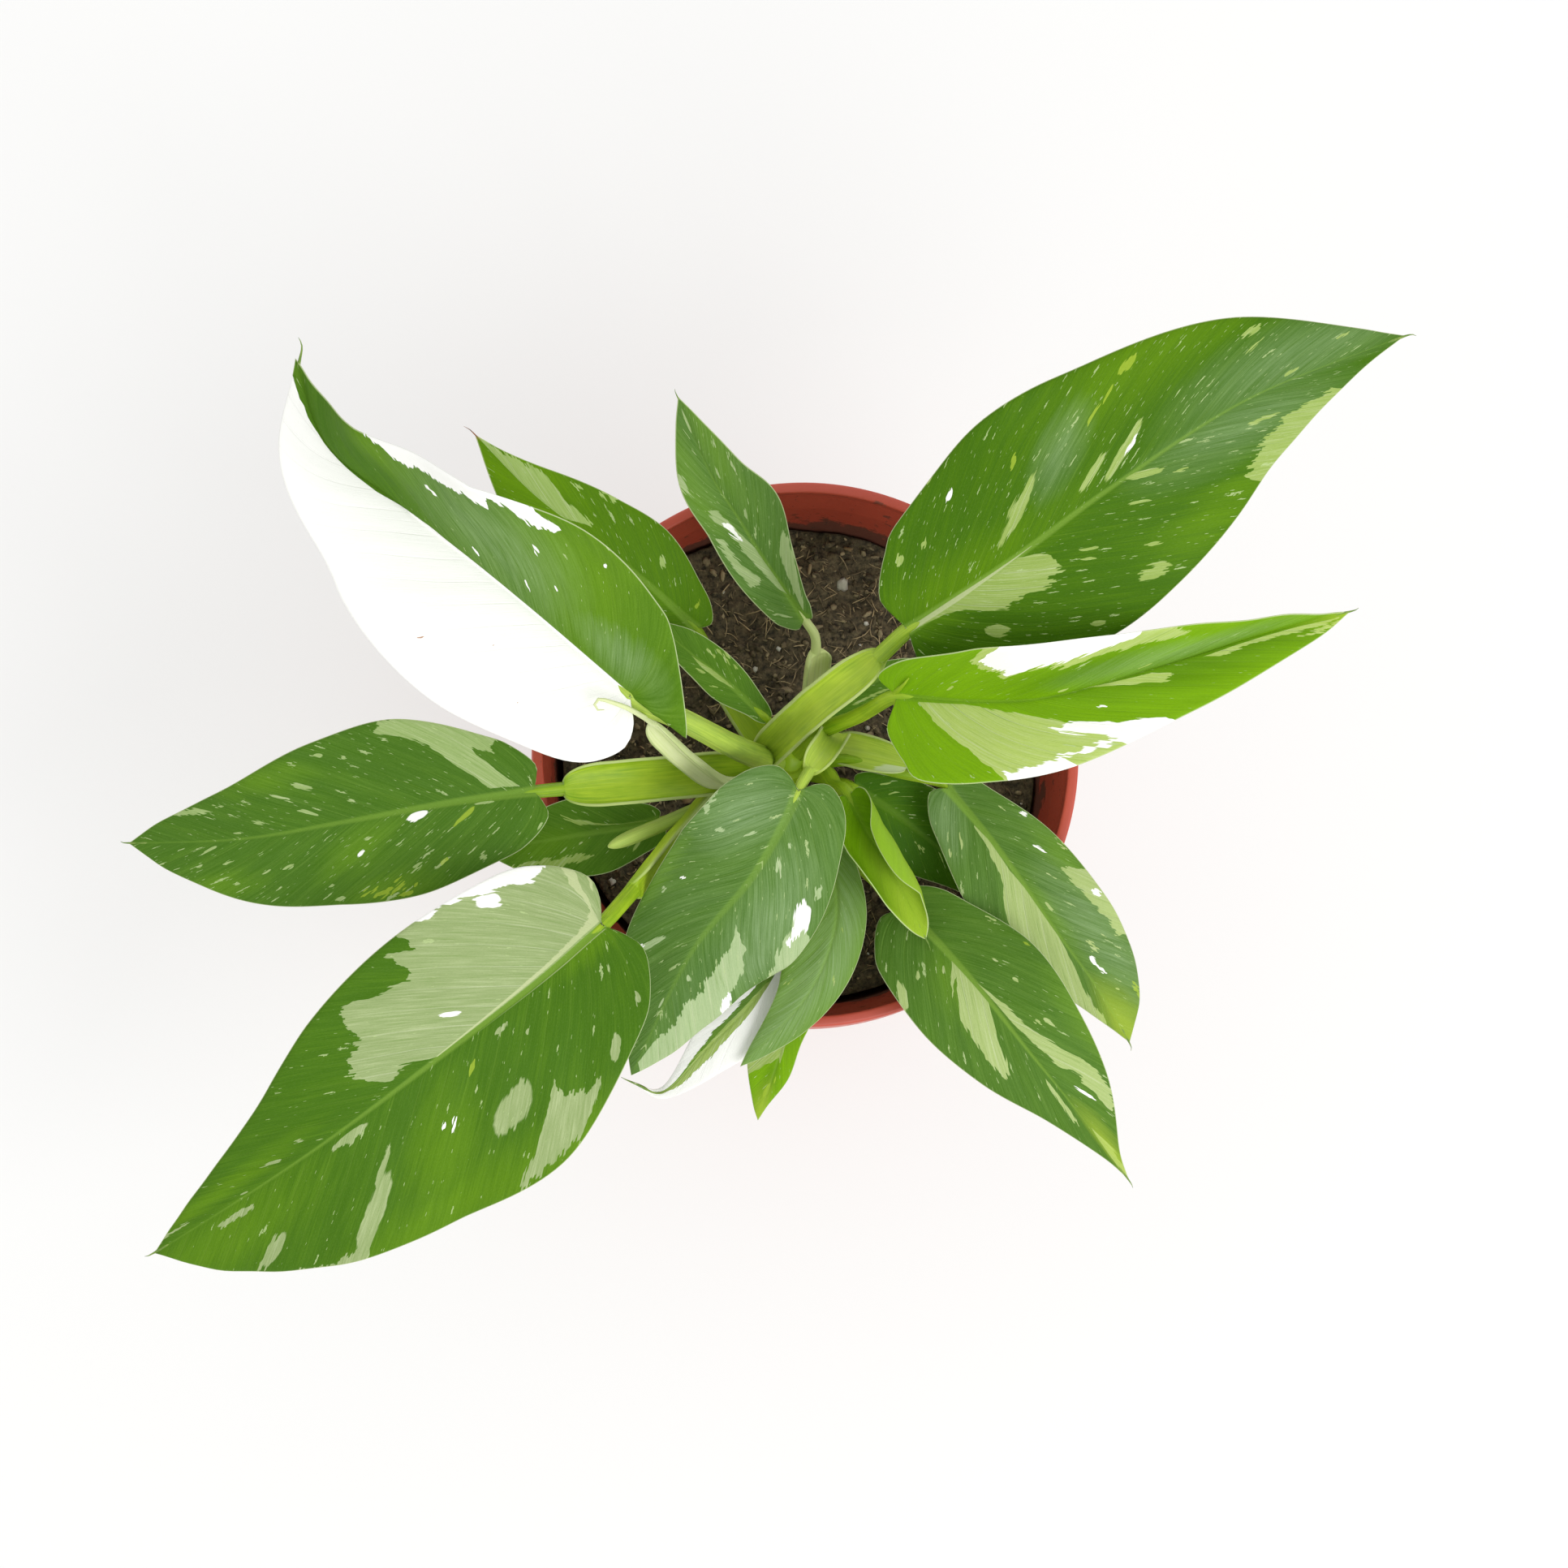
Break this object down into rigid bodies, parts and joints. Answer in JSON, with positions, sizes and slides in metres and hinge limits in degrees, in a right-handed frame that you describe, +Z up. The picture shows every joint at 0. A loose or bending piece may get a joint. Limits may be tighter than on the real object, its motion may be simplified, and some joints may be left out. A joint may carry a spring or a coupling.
{
  "type": "potted foliage plant",
  "caption": "Variegated philodendron with long pointed leaves on sheathed stalks, standing in soil in a round tapered plastic nursery pot.",
  "frame": {"origin": "middle of the pot's underside", "axes": "+Z up along the pot's axis; +X to the right and +Y to the top of the plant as it is seen from above"},
  "size_m": [0.2653, 0.194, 0.1959],
  "materials": {
    "pot": "satin terracotta-red plastic",
    "soil": "moist peat with fibres and crumbs",
    "stalk": "smooth lime green",
    "leaf": "smooth deep green with pale green and white sectors",
    "young_leaf": "smooth yellow-green with pale sectors"
  },
  "bodies": {
    "root": {"pot": "pot", "soil": "soil", "stem_and_stalks": "stalk", "blade_upper_right": "leaf", "blade_right_bright": "young_leaf", "blade_upper_left": "leaf", "blade_top": "leaf", "blade_behind_left": "leaf", "blade_left": "leaf", "blade_lower_left": "leaf", "blade_front": "leaf", "blade_front_green": "leaf", "blade_front_white": "leaf", "blade_front_low": "young_leaf", "blade_lower_right": "leaf", "blade_right": "leaf", "blade_right_low": "leaf", "blade_centre_left": "leaf", "blade_left_low": "leaf", "blade_centre_right": "leaf", "blade_rolled": "young_leaf"}
  },
  "joints": []
}
